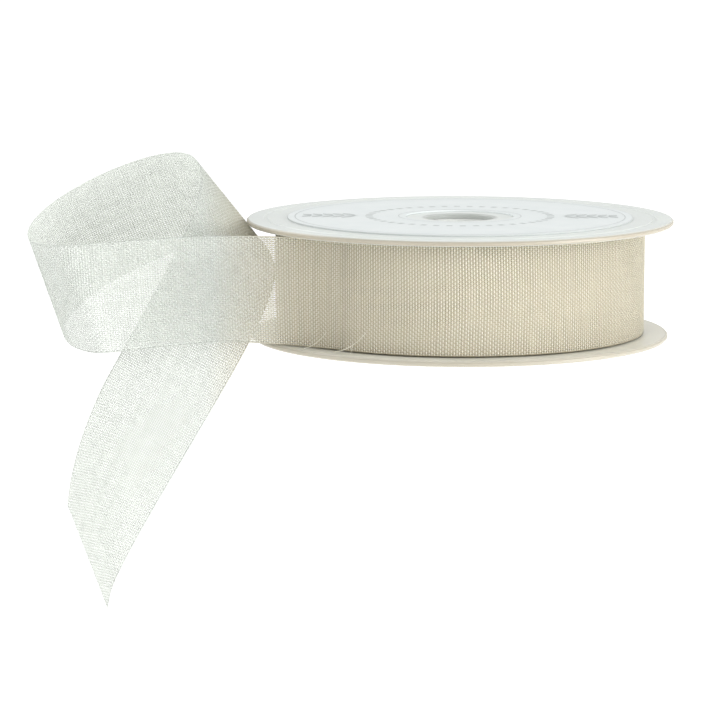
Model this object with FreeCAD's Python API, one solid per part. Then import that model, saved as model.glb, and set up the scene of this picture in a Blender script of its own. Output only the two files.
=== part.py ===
import FreeCAD
import Part
import math
import os

# Ribbon spool: two moulded discs snapped on a webbed drum, a card label, the wound ribbon and its loose end.
# Origin on the spindle axis at the underside of the lower disc, +Z up, the loose end leaves towards -X.
# All sizes are in millimetres and all angles in degrees.

# Discs
upper_flange_radius = 50.0
lower_flange_radius = 49.0
flange_thickness = 1.2
flange_gap = 25.6
rim_rounding = 0.35
rim_groove_radius = 45.6
rim_groove_width = 1.2
rim_groove_depth = 0.15

# Spindle bore and drum
bore_radius = 8.0
bore_mouth_chamfer = 0.3
drum_outer_radius = 25.0
drum_wall = 2.5
drum_end_gap = 0.05
spindle_tube_wall = 2.0
web_count = 8
web_thickness = 1.6
web_end_gap = 0.5

# Collar on each disc that snaps into the drum
collar_height = 4.0
collar_wall = 1.8
collar_play = 0.05

# Card label on the upper disc
label_radius = 40.5
label_hole_radius = 12.65
label_thickness = 0.3
label_glue_gap = 0.02

# Tape that holds the inner end of the ribbon on the drum
tape_width = 12.0
tape_height = 20.0
tape_thickness = 0.06
tape_glue_gap = 0.02

# Ribbon
ribbon_width = 25.0
ribbon_thickness = 0.3
roll_inner_radius = 25.15
roll_outer_radius = 43.15
roll_clearance = 0.35

# Derived heights
gap_floor = flange_thickness
overall_height = flange_gap + 2 * flange_thickness
mid_height = overall_height / 2

# Loose end of the ribbon, measured along its middle line from where it leaves the roll.
# leave_angle is counted from the front of the roll towards its left side.
leave_angle = 37.0
loose_length = 256.9
ruling_steps = 180
loose_sections = 12

# The fold at the far left and the curl above the rim, as (position along the ribbon, length, turn).
# Each is a long easy bend with a shorter one inside it.
bends = [
    (69.5, 49.4, -46.2),
    (62.1, 15.7, -54.5),
    (157.2, 69.1, -66.1),
    (157.2, 7.4, 12.1),
]

# Gentle curl besides the bends, in radians per metre, as (position along the ribbon, curl).
curl_stations = [
    (0.0, 15.7),
    (17.3, 15.7),
    (38.1, 43.3),
    (44.8, 15.0),
    (94.2, -35.7),
    (113.4, -35.7),
    (122.7, -41.5),
    (191.7, -27.8),
    (217.0, 2.5),
    (238.9, 54.2),
    (256.9, 36.8),
]

# Slant of the bending line away from square across the ribbon, as (position along the ribbon, angle).
slant_stations = [
    (0.0, 0.0),
    (20.8, -21.5),
    (41.6, 35.1),
    (55.5, 4.6),
    (69.5, 22.0),
    (83.5, 3.2),
    (113.4, 1.9),
    (147.2, -19.2),
    (161.2, -27.1),
    (190.1, -12.4),
    (217.0, -39.9),
    (238.9, -60.5),
    (256.9, -42.1),
]


def ring(outer_radius, inner_radius, bottom, height):
    """Return a plain ring round the spindle axis."""
    base = FreeCAD.Vector(0, 0, bottom)
    outer = Part.makeCylinder(outer_radius, height, base)
    inner = Part.makeCylinder(inner_radius, height, base)
    return outer.cut(inner)


def revolved(profile):
    """Return the solid swept by a closed outline of (radius, height) points round the spindle axis."""
    points = [FreeCAD.Vector(radius, 0, height) for radius, height in profile]
    face = Part.Face(Part.makePolygon(points + [points[0]]))
    return face.revolve(FreeCAD.Vector(0, 0, 0), FreeCAD.Vector(0, 0, 1), 360)


def flange(radius, outside, inward):
    """Return one disc with its collar. outside is the height of its outer face, inward is +1 or -1."""
    inside = outside + inward * flange_thickness
    collar_outer = drum_outer_radius - drum_wall - collar_play
    collar_inner = collar_outer - collar_wall
    collar_end = inside + inward * collar_height
    groove_in = rim_groove_radius - rim_groove_width / 2
    groove_out = rim_groove_radius + rim_groove_width / 2
    groove_floor = outside + inward * rim_groove_depth
    profile = [
        (bore_radius + bore_mouth_chamfer, outside),
        (groove_in, outside),
        (groove_in + rim_groove_depth, groove_floor),
        (groove_out - rim_groove_depth, groove_floor),
        (groove_out, outside),
        (radius - rim_rounding, outside),
        (radius, outside + inward * rim_rounding),
        (radius, inside - inward * rim_rounding),
        (radius - rim_rounding, inside),
        (collar_outer, inside),
        (collar_outer, collar_end - inward * rim_rounding),
        (collar_outer - rim_rounding, collar_end),
        (collar_inner, collar_end),
        (collar_inner, inside),
        (bore_radius, inside),
        (bore_radius, outside + inward * bore_mouth_chamfer),
    ]
    return revolved(profile)


def winding_drum():
    """Return the drum wall and the spindle tube joined by radial webs."""
    bottom = gap_floor + drum_end_gap
    height = flange_gap - 2 * drum_end_gap
    tube_radius = bore_radius + spindle_tube_wall
    drum_inner = drum_outer_radius - drum_wall
    web_bottom = gap_floor + collar_height + web_end_gap
    web_height = flange_gap - 2 * (collar_height + web_end_gap)
    web_start = bore_radius + spindle_tube_wall / 2
    web_end = drum_inner + drum_wall / 2
    drum = ring(drum_outer_radius, drum_inner, bottom, height)
    drum = drum.fuse(ring(tube_radius, bore_radius, bottom, height))
    for index in range(web_count):
        corner = FreeCAD.Vector(web_start, -web_thickness / 2, web_bottom)
        web = Part.makeBox(web_end - web_start, web_thickness, web_height, corner)
        web.rotate(FreeCAD.Vector(0, 0, 0), FreeCAD.Vector(0, 0, 1), 360 * index / web_count)
        drum = drum.fuse(web)
    return drum.removeSplitter()


def start_tape():
    """Return the curved strip of tape on the drum."""
    inner = drum_outer_radius + tape_glue_gap
    outer = inner + tape_thickness
    span = math.degrees(tape_width / drum_outer_radius)
    bottom = mid_height - tape_height / 2
    base = FreeCAD.Vector(inner, 0, bottom)
    side = [
        base,
        FreeCAD.Vector(outer, 0, bottom),
        FreeCAD.Vector(outer, 0, bottom + tape_height),
        FreeCAD.Vector(inner, 0, bottom + tape_height),
        base,
    ]
    face = Part.Face(Part.makePolygon(side))
    return face.revolve(FreeCAD.Vector(0, 0, 0), FreeCAD.Vector(0, 0, 1), span)


def between(stations, position):
    """Return the value of a list of (position, value) stations, straight between neighbours."""
    for (start, first), (end, last) in zip(stations, stations[1:]):
        if position <= end:
            return first + (last - first) * (position - start) / (end - start)
    return stations[-1][1]


def bend_rate(position):
    """Return the turn per millimetre of the ribbon at a position along it, in radians."""
    rate = between(curl_stations, position) / 1000
    for middle, length, turn in bends:
        across = (position - middle) / length
        if abs(across) < 0.5:
            rate += math.radians(turn) * (1 + math.cos(2 * math.pi * across)) / length
    return rate


def turned(vector, axis, angle):
    """Return a vector turned about an axis by an angle in radians."""
    return FreeCAD.Rotation(axis, math.degrees(angle)).multVec(vector)


def ribbon_rulings():
    """Return the straight lines across the loose end, each as its lower point, upper point and surface normal.

    The strip only ever bends about these lines, so it keeps its flat length and width.
    """
    start = math.radians(leave_angle)
    start_radius = roll_outer_radius + roll_clearance + ribbon_thickness / 2
    middle = FreeCAD.Vector(-math.sin(start), -math.cos(start), 0) * start_radius
    middle.z = mid_height
    along = FreeCAD.Vector(-math.cos(start), math.sin(start), 0)
    across = FreeCAD.Vector(0, 0, 1)
    step = loose_length / ruling_steps
    rulings = []
    for index in range(ruling_steps + 1):
        position = index * step
        slant = math.radians(between(slant_stations, position))
        line = across * math.cos(slant) + along * math.sin(slant)
        reach = line * (ribbon_width / 2 / math.cos(slant))
        rulings.append((middle - reach, middle + reach, along.cross(across)))
        angle = bend_rate(position) * step
        along = turned(along, line, angle)
        across = turned(across, line, angle)
        middle = middle + along * step
    return rulings


def smooth_edge(points):
    """Return one smooth edge through points, evenly spread along its parameter."""
    last = len(points) - 1
    curve = Part.BSplineCurve()
    curve.interpolate(Points=points, Parameters=[index / last for index in range(last + 1)])
    return curve.toShape()


def cross_face(ruling):
    """Return the flat end face of the loose end at one ruling."""
    low, high, normal = ruling
    half = normal * (ribbon_thickness / 2)
    corners = [low + half, high + half, high - half, low - half, low + half]
    return Part.Face(Part.makePolygon(corners))


def ribbon_free_end():
    """Return the loose end as one thin solid bounded by ruled faces, built length by length."""
    half = ribbon_thickness / 2
    rulings = ribbon_rulings()
    span = ruling_steps // loose_sections
    faces = [cross_face(rulings[0]), cross_face(rulings[-1])]
    for start in range(0, ruling_steps, span):
        section = rulings[start:start + span + 1]
        lower_front = smooth_edge([low + normal * half for low, high, normal in section])
        upper_front = smooth_edge([high + normal * half for low, high, normal in section])
        lower_back = smooth_edge([low - normal * half for low, high, normal in section])
        upper_back = smooth_edge([high - normal * half for low, high, normal in section])
        faces.append(Part.makeRuledSurface(lower_front, upper_front))
        faces.append(Part.makeRuledSurface(lower_back, upper_back))
        faces.append(Part.makeRuledSurface(lower_front, lower_back))
        faces.append(Part.makeRuledSurface(upper_front, upper_back))
    shell = Part.makeShell(faces)
    shell.sewShape()
    solid = Part.makeSolid(shell)
    if solid.Volume < 0:
        solid.reverse()
    return solid


parts = {
    "upper_flange": flange(upper_flange_radius, overall_height, -1),
    "lower_flange": flange(lower_flange_radius, 0.0, 1),
    "winding_drum": winding_drum(),
    "start_tape": start_tape(),
    "upper_label": ring(label_radius, label_hole_radius, overall_height + label_glue_gap, label_thickness),
    "ribbon_winding": ring(roll_outer_radius, roll_inner_radius, mid_height - ribbon_width / 2, ribbon_width),
    "ribbon_free_end": ribbon_free_end(),
}

os.makedirs("parts", exist_ok=True)
for name, shape in parts.items():
    shape.exportStep("parts/" + name + ".step")
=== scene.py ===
import math

import bpy
import numpy as np
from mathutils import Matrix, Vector


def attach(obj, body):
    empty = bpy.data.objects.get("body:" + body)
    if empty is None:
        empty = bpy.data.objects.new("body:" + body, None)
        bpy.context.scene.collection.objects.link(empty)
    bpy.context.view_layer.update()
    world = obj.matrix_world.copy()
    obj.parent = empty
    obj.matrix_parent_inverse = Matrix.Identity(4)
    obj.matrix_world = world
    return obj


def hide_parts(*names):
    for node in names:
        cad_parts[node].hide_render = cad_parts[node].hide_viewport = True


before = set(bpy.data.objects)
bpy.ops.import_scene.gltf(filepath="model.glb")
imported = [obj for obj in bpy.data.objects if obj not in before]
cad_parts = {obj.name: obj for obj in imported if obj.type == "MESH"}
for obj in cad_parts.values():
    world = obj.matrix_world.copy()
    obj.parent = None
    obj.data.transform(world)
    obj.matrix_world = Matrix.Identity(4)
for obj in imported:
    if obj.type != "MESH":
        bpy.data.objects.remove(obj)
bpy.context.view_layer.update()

MM = 0.001

# ---------------------------------------------------------------- sizes, mm
ROLL_RADIUS = 43.15
ROLL_CLEARANCE = 0.35
STRIP_THICKNESS = 0.3
RIBBON_WIDTH = 25.0
MID_HEIGHT = 14.0
TOP_HEIGHT = 28.0
LABEL_THICKNESS = 0.3

# Loose end: the same bends as the solid it stands for, in mm, degrees and radians per metre.
LEAVE_ANGLE = 37.0
LOOSE_LENGTH = 256.9
RULING_STEPS = 180
BENDS = [(69.5, 49.4, -46.2), (62.1, 15.7, -54.5), (157.2, 69.1, -66.1), (157.2, 7.4, 12.1)]
CURL_STATIONS = [
    (0.0, 15.7), (17.3, 15.7), (38.1, 43.3), (44.8, 15.0), (94.2, -35.7),
    (113.4, -35.7), (122.7, -41.5), (191.7, -27.8), (217.0, 2.5), (238.9, 54.2),
    (256.9, 36.8),
]
SLANT_STATIONS = [
    (0.0, 0.0), (20.8, -21.5), (41.6, 35.1), (55.5, 4.6), (69.5, 22.0),
    (83.5, 3.2), (113.4, 1.9), (147.2, -19.2), (161.2, -27.1), (190.1, -12.4),
    (217.0, -39.9), (238.9, -60.5), (256.9, -42.1),
]
# Outermost turn, one full circle easing inwards
WRAP_LENGTH = 2 * math.pi * (ROLL_RADIUS + 0.3)

# Weave: warp threads run along the ribbon, weft threads across it
WARP_COUNT = 54
WARP_PITCH = 0.46
WEFT_PITCH = 0.62
ROLL_THREAD = 0.26
UNDER_THREAD = 0.38
LOOSE_THREAD = 0.33
EASING_LENGTH = 30.0
THREAD_DEPTH = 0.07
WEAVE_DEPTH = 0.045
ROLL_STEP = 2.5
LOOSE_STEP = 1.6
EDGE_GAP = 0.12


# ---------------------------------------------------------------- ribbon shape
def turned(vector, axis, angle):
    c, s = math.cos(angle), math.sin(angle)
    return vector * c + np.cross(axis, vector) * s + axis * np.dot(axis, vector) * (1 - c)


def bend_rate(position):
    rate = float(np.interp(position, *zip(*CURL_STATIONS))) / 1000
    for middle, length, turn in BENDS:
        across = (position - middle) / length
        if abs(across) < 0.5:
            rate += math.radians(turn) * (1 + math.cos(2 * math.pi * across)) / length
    return rate


class RibbonMap:
    """Carries a flat ribbon, (along, across) in mm, onto the shape it hangs in."""

    def __init__(self):
        half = RIBBON_WIDTH / 2
        start = math.radians(LEAVE_ANGLE)
        radius = ROLL_RADIUS + ROLL_CLEARANCE + STRIP_THICKNESS / 2
        step = LOOSE_LENGTH / RULING_STEPS
        middle = np.array([-math.sin(start) * radius, -math.cos(start) * radius, MID_HEIGHT])
        along = np.array([-math.cos(start), math.sin(start), 0.0])
        across = np.array([0.0, 0.0, 1.0])
        rows = []
        for back in np.arange(math.ceil(WRAP_LENGTH / step), 0, -1) * step:
            eased = radius - 0.25 * min(1.0, back / 40.0) - 0.2 * back / WRAP_LENGTH
            angle = start - back / radius
            out = np.array([math.sin(angle), math.cos(angle), 0.0])
            rows.append((-back, 0.0, -out * eased + [0, 0, MID_HEIGHT], across, out))
        for index in range(RULING_STEPS + 1):
            position = index * step
            slant = math.radians(float(np.interp(position, *zip(*SLANT_STATIONS))))
            line = across * math.cos(slant) + along * math.sin(slant)
            rows.append((position, slant, middle, line, np.cross(along, across)))
            angle = bend_rate(position) * step
            along = turned(along, line, angle)
            across = turned(across, line, angle)
            middle = middle + along * step
        self.cut_at, self.cut_slant, last, line, out = rows[-1]
        reach = half * abs(math.tan(self.cut_slant))
        ahead = (middle - last) / step
        # a straight run past the slanted cut, so that every flat position has a place
        for extra in np.arange(step, 2 * reach + 2, step):
            rows.append((self.cut_at + extra, self.cut_slant, last + ahead * extra, line, out))
        position, slant, middle, line, out = (np.array(column) for column in zip(*rows))
        self.across_at = np.linspace(-half, half, 41)
        self.along_at = np.arange(position[0], position[-1] - reach, 0.5)
        self.place = np.zeros((len(self.along_at), len(self.across_at), 3))
        self.normal = np.zeros_like(self.place)
        for j, w in enumerate(self.across_at):
            flat = position + w * np.tan(slant)
            points = middle + line * (w / np.cos(slant))[:, None]
            for k in range(3):
                self.place[:, j, k] = np.interp(self.along_at, flat, points[:, k])
                self.normal[:, j, k] = np.interp(self.along_at, flat, out[:, k])

    def cut(self, across):
        """How far along the ribbon reaches at this place across it."""
        return self.cut_at + across * math.tan(self.cut_slant)

    def at(self, along, across, lift=0.0):
        """Place and normal in mm for arrays of flat positions."""
        u = (along - self.along_at[0]) / (self.along_at[1] - self.along_at[0])
        v = (across - self.across_at[0]) / (self.across_at[1] - self.across_at[0])
        u = np.clip(u, 0, len(self.along_at) - 1.001)
        v = np.clip(v, 0, len(self.across_at) - 1.001)
        i, j = u.astype(int), v.astype(int)
        fu, fv = (u - i)[..., None], (v - j)[..., None]

        def mix(grid):
            return (grid[i, j] * (1 - fu) * (1 - fv) + grid[i + 1, j] * fu * (1 - fv)
                    + grid[i, j + 1] * (1 - fu) * fv + grid[i + 1, j + 1] * fu * fv)

        normal = mix(self.normal)
        normal /= np.linalg.norm(normal, axis=-1)[..., None]
        return mix(self.place) + normal * np.asarray(lift)[..., None], normal


# ---------------------------------------------------------------- mesh helpers
def fast_object(name, verts, faces, material, body, kinds=None, second=None):
    """An object from arrays of vertices (metres) and faces.

    A face that repeats its last corner is a triangle. kinds, if given, holds 0 or 1 for each face and picks
    the material or the second one.
    """
    mesh = bpy.data.meshes.new(name)
    short = faces[:, 2] == faces[:, 3]
    corners = np.concatenate([faces[~short].ravel(), faces[short][:, :3].ravel()])
    sizes = np.concatenate([np.full((~short).sum(), 4), np.full(short.sum(), 3)])
    mesh.vertices.add(len(verts))
    mesh.vertices.foreach_set("co", np.asarray(verts, np.float32).ravel())
    mesh.loops.add(len(corners))
    mesh.loops.foreach_set("vertex_index", corners.astype(np.int32))
    mesh.polygons.add(len(sizes))
    mesh.polygons.foreach_set("loop_start", (np.cumsum(sizes) - sizes).astype(np.int32))
    mesh.polygons.foreach_set("loop_total", sizes.astype(np.int32))
    mesh.materials.append(material)
    if second is not None:
        mesh.materials.append(second)
        picked = np.concatenate([kinds[~short], kinds[short]])
        mesh.polygons.foreach_set("material_index", picked.astype(np.int32))
    mesh.update(calc_edges=True)
    mesh.polygons.foreach_set("use_smooth", np.ones(len(sizes), bool))
    mesh.validate()
    obj = bpy.data.objects.new(name, mesh)
    bpy.context.scene.collection.objects.link(obj)
    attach(obj, body)
    return obj


def threads(points, normals, width):
    """Closed flattened prisms along many lines at once.

    points and normals are (lines, steps, 3) in mm, width is (lines, steps).
    """
    ahead = np.gradient(points, axis=1)
    ahead /= np.linalg.norm(ahead, axis=-1)[..., None] + 1e-12
    side = np.cross(ahead, normals)
    side /= np.linalg.norm(side, axis=-1)[..., None] + 1e-12
    up = np.cross(side, ahead)
    lines, steps = points.shape[:2]
    corners = [
        points + side * (x * width[..., None] / 2) + up * (z * THREAD_DEPTH / 2)
        for x, z in ((-1, -1), (1, -1), (0, 1))
    ]
    verts = np.stack(corners, axis=2).reshape(-1, 3) * MM
    base = (np.arange(lines)[:, None] * steps + np.arange(steps)[None]) * 3
    here, there = base[:, :-1], base[:, 1:]
    quads = [
        np.stack([here + k, there + k, there + m, here + m], axis=-1).reshape(-1, 4)
        for k, m in ((0, 1), (1, 2), (2, 0))
    ]
    # each end is closed by a folded triangle
    first, last = base[:, 0], base[:, -1]
    quads.append(np.stack([first, first + 1, first + 2, first + 2], axis=-1))
    quads.append(np.stack([last + 2, last + 1, last, last], axis=-1))
    return verts, np.concatenate(quads)


def join(*meshes):
    verts, quads, offset = [], [], 0
    for v, q in meshes:
        verts.append(v)
        quads.append(q + offset)
        offset += len(v)
    return np.concatenate(verts), np.concatenate(quads)


def lathe(profile, steps):
    """Vertices and quads of a closed outline (radius, height) in mm turned round the axis."""
    n = len(profile)
    verts, quads = [], []
    for i in range(steps):
        t = 2 * math.pi * i / steps
        for radius, height in profile:
            verts.append((radius * math.cos(t) * MM, radius * math.sin(t) * MM, height * MM))
    for i in range(steps):
        a, b = i * n, ((i + 1) % steps) * n
        for k in range(n):
            m = (k + 1) % n
            quads.append((a + k, b + k, b + m, a + m))
    return np.array(verts), np.array(quads)


# ---------------------------------------------------------------- materials
def material(name):
    """A new material with its node tree and its Principled shader."""
    mat = bpy.data.materials.new(name)
    mat.use_nodes = True
    tree = mat.node_tree
    return mat, tree, tree.nodes["Principled BSDF"]


def node(tree, kind, **inputs):
    """A node with some of its inputs set; an underscore in a name stands for a space."""
    n = tree.nodes.new(kind)
    for key, value in inputs.items():
        n.inputs[key.replace("_", " ")].default_value = value
    return n


def noise_colour(tree, shader, low, high, scale):
    """Colour that drifts between low and high, scale blotches to the metre. Returns its colour socket."""
    where = tree.nodes.new("ShaderNodeTexCoord")
    noise = node(tree, "ShaderNodeTexNoise", Scale=scale, Detail=4.0)
    ramp = tree.nodes.new("ShaderNodeValToRGB")
    ramp.color_ramp.elements[0].position = 0.35
    ramp.color_ramp.elements[1].position = 0.65
    ramp.color_ramp.elements[0].color = (*low, 1)
    ramp.color_ramp.elements[1].color = (*high, 1)
    tree.links.new(where.outputs["Object"], noise.inputs["Vector"])
    tree.links.new(noise.outputs["Fac"], ramp.inputs["Fac"])
    tree.links.new(ramp.outputs["Color"], shader.inputs["Base Color"])
    return ramp.outputs["Color"]


def noise_bump(tree, shader, scale, strength, distance, stretch=(1, 1, 1)):
    """Fine relief, distance metres high."""
    where = tree.nodes.new("ShaderNodeTexCoord")
    mapping = tree.nodes.new("ShaderNodeMapping")
    mapping.inputs["Scale"].default_value = stretch
    noise = node(tree, "ShaderNodeTexNoise", Scale=scale, Detail=5.0)
    bump = node(tree, "ShaderNodeBump", Strength=strength, Distance=distance)
    tree.links.new(where.outputs["Object"], mapping.inputs["Vector"])
    tree.links.new(mapping.outputs["Vector"], noise.inputs["Vector"])
    tree.links.new(noise.outputs["Fac"], bump.inputs["Height"])
    tree.links.new(bump.outputs["Normal"], shader.inputs["Normal"])


def plastic(name, low, high, roughness):
    """Slightly milky moulded plastic."""
    mat, tree, shader = material(name)
    noise_colour(tree, shader, low, high, 60.0)
    shader.inputs["Roughness"].default_value = roughness
    shader.inputs["Subsurface Weight"].default_value = 0.25
    shader.inputs["Subsurface Radius"].default_value = (1.0, 1.0, 0.9)
    shader.inputs["Subsurface Scale"].default_value = 0.0015
    noise_bump(tree, shader, 900.0, 0.15, 0.00005)
    return mat


def thread_material(name, low, high, through):
    """Fine yarn: a soft sheen over matt fibre, with a share of the light passing through it."""
    mat, tree, shader = material(name)
    colour = noise_colour(tree, shader, low, high, 400.0)
    shader.inputs["Roughness"].default_value = 0.6
    shader.inputs["Specular IOR Level"].default_value = 0.25
    shader.inputs["Sheen Weight"].default_value = 0.15
    shader.inputs["Sheen Roughness"].default_value = 0.4
    glow = tree.nodes.new("ShaderNodeBsdfTranslucent")
    mix = node(tree, "ShaderNodeMixShader", Fac=through)
    out = tree.nodes["Material Output"]
    tree.links.new(colour, glow.inputs["Color"])
    tree.links.new(shader.outputs["BSDF"], mix.inputs[1])
    tree.links.new(glow.outputs["BSDF"], mix.inputs[2])
    tree.links.new(mix.outputs["Shader"], out.inputs["Surface"])
    return mat


def paint_light_and_shade_by_radius(mat, near, far, painted_colour):
    """Blend to a second colour, a painted light or shade, between two distances from the spindle axis, near
    to far, in metres.
    """
    tree = mat.node_tree
    shader = tree.nodes["Principled BSDF"]
    colour = shader.inputs["Base Color"].links[0].from_socket
    where = tree.nodes.new("ShaderNodeTexCoord")
    flat = node(tree, "ShaderNodeVectorMath")
    flat.operation = "MULTIPLY"
    flat.inputs[1].default_value = (1.0, 1.0, 0.0)
    length = tree.nodes.new("ShaderNodeVectorMath")
    length.operation = "LENGTH"
    reach = tree.nodes.new("ShaderNodeMapRange")
    reach.inputs["From Min"].default_value = near
    reach.inputs["From Max"].default_value = far
    mix = tree.nodes.new("ShaderNodeMix")
    mix.data_type = "RGBA"
    mix.inputs["B"].default_value = (*painted_colour, 1)
    tree.links.new(where.outputs["Object"], flat.inputs[0])
    tree.links.new(flat.outputs["Vector"], length.inputs[0])
    tree.links.new(length.outputs["Value"], reach.inputs["Value"])
    tree.links.new(reach.outputs["Result"], mix.inputs["Factor"])
    tree.links.new(colour, mix.inputs["A"])
    tree.links.new(mix.outputs["Result"], shader.inputs["Base Color"])
    for other in tree.nodes:
        if other.type == "BSDF_TRANSLUCENT":
            tree.links.new(mix.outputs["Result"], other.inputs["Color"])


# The discs' moulded rims and bore mouths, and the label's cut edge, look darker than their faces; that
# shade is painted into their colour.
flange_plastic = plastic("flange_plastic", (0.63, 0.665, 0.64), (0.66, 0.695, 0.665), 0.34)
# painted shade along the upper disc's rim, warmed like the ribbon-coloured light through the plastic
paint_light_and_shade_by_radius(flange_plastic, 0.0494, 0.0499, (0.34, 0.31, 0.245))
# painted shade in the bore mouth
paint_light_and_shade_by_radius(flange_plastic, 0.0092, 0.0084, (0.42, 0.44, 0.42))
# Painted shade: the lower disc's warmer tone stands in for the brownish shade it lies in, and its rim is
# painted darker still.
lower_plastic = plastic("lower_plastic", (0.66, 0.65, 0.585), (0.70, 0.69, 0.625), 0.34)
paint_light_and_shade_by_radius(lower_plastic, 0.0482, 0.0489, (0.36, 0.335, 0.27))
drum_plastic = plastic("drum_plastic", (0.76, 0.78, 0.75), (0.80, 0.81, 0.78), 0.5)
# The loose ribbon goes from the roll's ivory, which many layers give, to the paler look of one layer; that
# ivory is painted shade and light through the layers, and the weft lighter than the warp is a painted
# sheen.
loose_warp = thread_material("loose_warp", (0.82, 0.85, 0.805), (0.86, 0.89, 0.845), 0.35)
loose_weft = thread_material("loose_weft", (0.87, 0.90, 0.855), (0.91, 0.94, 0.895), 0.35)
# painted shade: darker, warmer warp near the roll; lighter weft there, a painted sheen
paint_light_and_shade_by_radius(loose_warp, 0.061, 0.046, (0.73, 0.665, 0.495))
paint_light_and_shade_by_radius(loose_weft, 0.061, 0.046, (0.99, 0.96, 0.84))
# Painted shade: the turn under the outer one gets darker yarn for the shade it lies in, and its weft is
# painted lighter than its warp as a sheen.
roll_warp = thread_material("roll_warp", (0.58, 0.51, 0.35), (0.66, 0.59, 0.42), 0.15)
roll_weft = thread_material("roll_weft", (0.80, 0.75, 0.60), (0.88, 0.83, 0.68), 0.15)

label_card, tree, shader = material("label_card")
noise_colour(tree, shader, (0.675, 0.715, 0.71), (0.70, 0.735, 0.73), 150.0)
shader.inputs["Roughness"].default_value = 0.6
noise_bump(tree, shader, 1500.0, 0.12, 0.00004)
# painted shade on the label's cut edge
paint_light_and_shade_by_radius(label_card, 0.04035, 0.04045, (0.50, 0.53, 0.52))

print_ink, tree, shader = material("print_ink")
noise_colour(tree, shader, (0.43, 0.47, 0.46), (0.52, 0.55, 0.54), 700.0)
shader.inputs["Roughness"].default_value = 0.55

tape_paper, tree, shader = material("tape_paper")
noise_colour(tree, shader, (0.76, 0.72, 0.6), (0.82, 0.78, 0.66), 200.0)
shader.inputs["Roughness"].default_value = 0.6

# Painted shade: the core stands for the turns wound inside, and its dark brown is the shade between the
# layers, seen through the gaps of the woven turns.
roll_core, tree, shader = material("roll_core")
noise_colour(tree, shader, (0.40, 0.33, 0.20), (0.48, 0.41, 0.28), 120.0)
shader.inputs["Roughness"].default_value = 0.8
noise_bump(tree, shader, 500.0, 0.3, 0.0001, (1, 1, 6))

floor_paint, tree, shader = material("floor_paint")
noise_colour(tree, shader, (0.97, 0.97, 0.97), (0.99, 0.99, 0.99), 3.0)
shader.inputs["Roughness"].default_value = 0.9
shader.inputs["Specular IOR Level"].default_value = 0.0
shader.inputs["Emission Color"].default_value = (1, 1, 1, 1)
shader.inputs["Emission Strength"].default_value = 0.32

# ---------------------------------------------------------------- carried-over nodes
# the disc and label materials carry painted shade: rims, bore mouth, cut edge and the lower disc's warmer
# tone
part_materials = {
    "upper_flange": flange_plastic,
    "lower_flange": lower_plastic,
    "winding_drum": drum_plastic,
    "start_tape": tape_paper,
    "upper_label": label_card,
}
for name, mat in part_materials.items():
    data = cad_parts[name].data
    data.materials.clear()
    data.materials.append(mat)

# ---------------------------------------------------------------- print on the label
PRINT_HEIGHT = TOP_HEIGHT + LABEL_THICKNESS + 0.04
OUTER_RING, INNER_RING, DASH_RING = 38.6, 14.3, 20.5
SPRIG_START, SPRIG_END, SPRIG_STEM = 24, 37, 0.12
LEAF_START, LEAF_SPACING, LEAF_PAIRS = 24.5, 2.6, 5
LEAF_LENGTH, LEAF_SHRINK, LEAF_WIDTH, LEAF_LEAN = 5.6, 0.5, 1.7, 0.95
LEAF_STEPS = 8


def flat_patch(corners):
    """A four-cornered patch of print from (x, y) corners in mm."""
    verts = np.array([(x * MM, y * MM, PRINT_HEIGHT * MM) for x, y in corners])
    return verts, np.array([[0, 1, 2, 3]])


def print_ring(radius, width, count, filled):
    """A printed ring of count pieces, each filling a share of its step."""
    patches = []
    for k in range(count):
        turn = 2 * math.pi * k / count
        end = turn + 2 * math.pi * filled / count
        corners = [(r * math.cos(a), r * math.sin(a)) for r, a in (
            (radius, turn), (radius + width, turn), (radius + width, end), (radius, end))]
        patches.append(flat_patch(corners))
    return patches


def leaf(x, y, length, width, turn):
    """A printed leaf as a fan of narrow patches along its rib."""
    patches = []
    c, s = math.cos(turn), math.sin(turn)
    for k in range(LEAF_STEPS):
        shares = (k / LEAF_STEPS, (k + 1) / LEAF_STEPS)
        span = [(length * q, width * math.sin(math.pi * q) / 2) for q in shares]
        for side in (-1, 1):
            # the rib between the two halves is left open
            outline = [(u, side * v * m) for (u, v), m in zip(span + span[::-1], (0.25, 0.25, 1, 1))]
            patches.append(flat_patch([(x + u * c - v * s, y + u * s + v * c) for u, v in outline]))
    return patches


patches = print_ring(OUTER_RING, 0.22, 180, 1.0)
patches += print_ring(INNER_RING, 0.18, 90, 1.0)
patches += print_ring(DASH_RING, 1.7, 44, 0.45)
stem = [
    (SPRIG_START, -SPRIG_STEM),
    (SPRIG_END, -SPRIG_STEM),
    (SPRIG_END, SPRIG_STEM),
    (SPRIG_START, SPRIG_STEM),
]
for mirror in (-1, 1):
    patches.append(flat_patch([(mirror * x, y) for x, y in stem]))
    for k in range(LEAF_PAIRS):
        for side in (-1, 1):
            rib = math.pi / 2 * (1 - mirror) + mirror * side * LEAF_LEAN
            place = mirror * (LEAF_START + LEAF_SPACING * k)
            patches += leaf(place, side * 0.3, LEAF_LENGTH - LEAF_SHRINK * k, LEAF_WIDTH, rib)
ornament = fast_object("label_print", *join(*patches), print_ink, "spool")

# ---------------------------------------------------------------- wound roll
half = RIBBON_WIDTH / 2
low, high = MID_HEIGHT - half, MID_HEIGHT + half
core_radius = ROLL_RADIUS - 0.3
profile = [(25.2, low + 0.1), (core_radius - 0.4, low + 0.05), (core_radius, low + 0.35)]
profile += [(core_radius, low + 0.35 + k * (RIBBON_WIDTH - 0.7) / 12) for k in range(1, 12)]
profile += [(core_radius, high - 0.35), (core_radius - 0.4, high - 0.05), (25.2, high - 0.1)]
verts, quads = lathe(profile, 256)
core = fast_object("roll_core", verts, quads, roll_core, "spool")
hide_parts("ribbon_winding")


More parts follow.
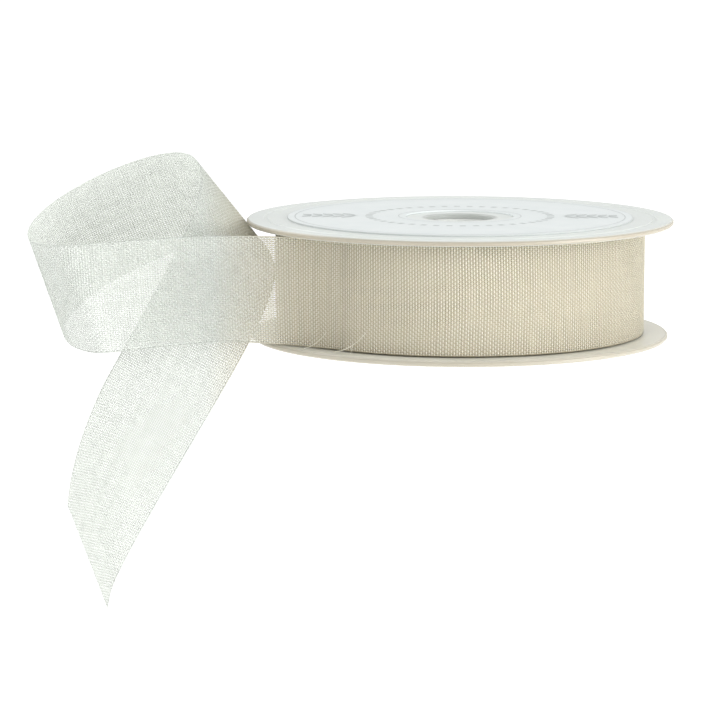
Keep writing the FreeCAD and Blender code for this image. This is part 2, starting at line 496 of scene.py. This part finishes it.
# ---------------------------------------------------------------- woven ribbon
def warp_rows():
    """Places of the warp threads across the ribbon, with a second one close to each edge."""
    rows = (np.arange(WARP_COUNT) - (WARP_COUNT - 1) / 2) * WARP_PITCH
    return np.concatenate([[rows[0] - EDGE_GAP], rows, [rows[-1] + EDGE_GAP]])


def swayed(rows, along):
    """Warp threads wander a little to either side along their length."""
    inside = 1 - np.abs(rows) / half
    return rows + 0.05 * inside * np.sin(along / 9.0 + rows * 1.7)


def outer_width(along):
    """Thread width: narrower where the ribbon lies stretched on the roll, easing to full off it."""
    return ROLL_THREAD + (LOOSE_THREAD - ROLL_THREAD) * np.clip(along / EASING_LENGTH, 0, 1)


def under_width(along):
    """Thread width of the turn below, flattened by the turns on it."""
    return UNDER_THREAD + 0 * along


def weave(place, first, ends, width, warp_step, seed):
    """Warp and weft threads from the flat position first to the end given for each warp row.

    place carries flat positions to points and normals. Each weft thread passes over and under the warp.
    Returns the vertices, the faces, and for each face whether it is weft.
    """
    draw = np.random.default_rng(seed)
    rows = warp_rows()
    steps = int((ends.max() - first) / warp_step) + 2
    along = first + (ends[:, None] - first) * np.linspace(0, 1, steps)[None]
    warp = threads(*place(along, swayed(rows[:, None], along), 0 * along), width(along))
    columns = np.arange(first + WEFT_PITCH / 2, ends.max() - 0.1, WEFT_PITCH)
    columns = columns + draw.normal(0, 0.025, len(columns))
    meshes = [warp]
    whole = columns < ends.min()
    sides = (np.arange(len(rows)) + np.arange(len(columns))[:, None]) % 2 * 2.0 - 1
    groups = [(columns[whole], sides[whole], slice(None))]
    for k in np.flatnonzero(~whole):
        kept = np.flatnonzero(ends > columns[k])
        if len(kept) > 1:
            groups.append((columns[k:k + 1], sides[k:k + 1, kept], kept))
    for at, side, kept in groups:
        here = at[:, None] + 0 * rows[None, kept]
        bow = 0.12 * np.sin(here / 23.0) * np.cos(rows[None, kept] / 5.0)
        across = swayed(rows[None, kept], here)
        meshes.append(threads(*place(here + bow, across, side * WEAVE_DEPTH), width(here)))
    verts, faces = join(*meshes)
    kinds = np.arange(len(faces)) >= len(warp[1])
    return verts, faces, kinds


UNDER_SKEW = 0.022


def on_roll(radius, skew):
    """Return the place function of one full turn of ribbon at a radius, its weft leaning by skew."""
    def place(along, across, lift):
        angle = (along + skew * across) / radius
        out = np.stack([np.sin(angle), np.cos(angle), 0 * angle], axis=-1)
        middle = np.stack([-np.sin(angle) * radius, -np.cos(angle) * radius, MID_HEIGHT + across], axis=-1)
        return middle + out * np.asarray(lift)[..., None], out
    return place


under_radius = ROLL_RADIUS - 0.12
under_ends = 2 * math.pi * under_radius + 0 * warp_rows()
verts, faces, kinds = weave(on_roll(under_radius, UNDER_SKEW), 0.0, under_ends, under_width, ROLL_STEP, 3)
under_turn = fast_object("roll_under_turn", verts, faces, roll_warp, "spool", kinds, roll_weft)

ribbon = RibbonMap()
# Loose fibres at the foot of the roll, lying out over the lower disc, as
# (start along the ribbon, end along the ribbon, rise), in mm
STRAYS = [(4.5, 8.0, 3.4), (-6.5, -1.0, 4.3), (-3.0, -5.0, 1.8)]
STRAY_WIDTH = 0.17
STRAY_REACH = 3.8
FOOT = -12.2
verts, faces, kinds = weave(ribbon.at, -WRAP_LENGTH, 0 * warp_rows(), outer_width, ROLL_STEP, 5)
for start, end, rise in STRAYS:
    share = np.linspace(0, 1, 9)[None]
    along = start + (end - start) * share + 0.6 * np.sin(3 * share)
    across = FOOT + rise * (1 - share) ** 2
    # the ribbon's normal points at the spindle, so a negative lift is outwards
    lift = -0.12 - STRAY_REACH * share ** 2
    stray = threads(*ribbon.at(along, across, lift), STRAY_WIDTH + 0 * share)
    verts, faces = join((verts, faces), stray)
    kinds = np.concatenate([kinds, np.ones(len(stray[1]), bool)])
outer_turn = fast_object("ribbon_outer_turn", verts, faces, loose_warp, "loose_end", kinds, loose_weft)
verts, faces, kinds = weave(ribbon.at, 0.0, ribbon.cut(warp_rows()), outer_width, LOOSE_STEP, 8)
loose = fast_object("ribbon_loose_end", verts, faces, loose_warp, "loose_end", kinds, loose_weft)
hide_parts("ribbon_free_end")

# ---------------------------------------------------------------- floor, light, camera
FLOOR_HEIGHT = -0.0725
bpy.ops.mesh.primitive_plane_add(size=12, location=(0, 0, FLOOR_HEIGHT))
floor = bpy.context.active_object
floor.name = "floor"
floor.data.materials.append(floor_paint)

world = bpy.data.worlds.new("studio")
bpy.context.scene.world = world
world.use_nodes = True
background = world.node_tree.nodes["Background"]
background.inputs["Color"].default_value = (1, 1, 1, 1)
background.inputs["Strength"].default_value = 0.82


def area_light(name, place, aim, size, power):
    lamp = bpy.data.lights.new(name, "AREA")
    lamp.size = size
    lamp.energy = power
    obj = bpy.data.objects.new(name, lamp)
    bpy.context.scene.collection.objects.link(obj)
    obj.location = place
    obj.rotation_euler = (Vector(aim) - Vector(place)).to_track_quat("-Z", "Y").to_euler()
    return obj


area_light("key", (0.64, -0.30, 0.12), (0, 0, 0.01), 0.4, 4.8)
area_light("fill", (-0.50, -0.60, 0.10), (-0.02, 0, 0.01), 0.5, 1.9)
area_light("front", (0.0, -0.95, 0.45), (-0.02, 0, 0.01), 0.5, 1.0)
area_light("back", (-0.55, 0.25, 0.45), (-0.06, 0, 0.02), 0.4, 1.6)

camera_data = bpy.data.cameras.new("camera")
camera_data.lens = 151.83
camera_data.sensor_width = 36.0
camera_data.clip_start = 0.05
camera = bpy.data.objects.new("camera", camera_data)
bpy.context.scene.collection.objects.link(camera)
DISTANCE, ELEVATION = 0.7181, math.radians(8.396)
YAW, PITCH = math.radians(1.891), math.radians(0.474)
camera.location = (0, -DISTANCE * math.cos(ELEVATION), DISTANCE * math.sin(ELEVATION))
camera.rotation_euler = (math.pi / 2 - ELEVATION - PITCH, 0, YAW)
bpy.context.scene.camera = camera

bpy.context.scene.view_settings.view_transform = "Standard"
bpy.context.scene.view_settings.look = "None"
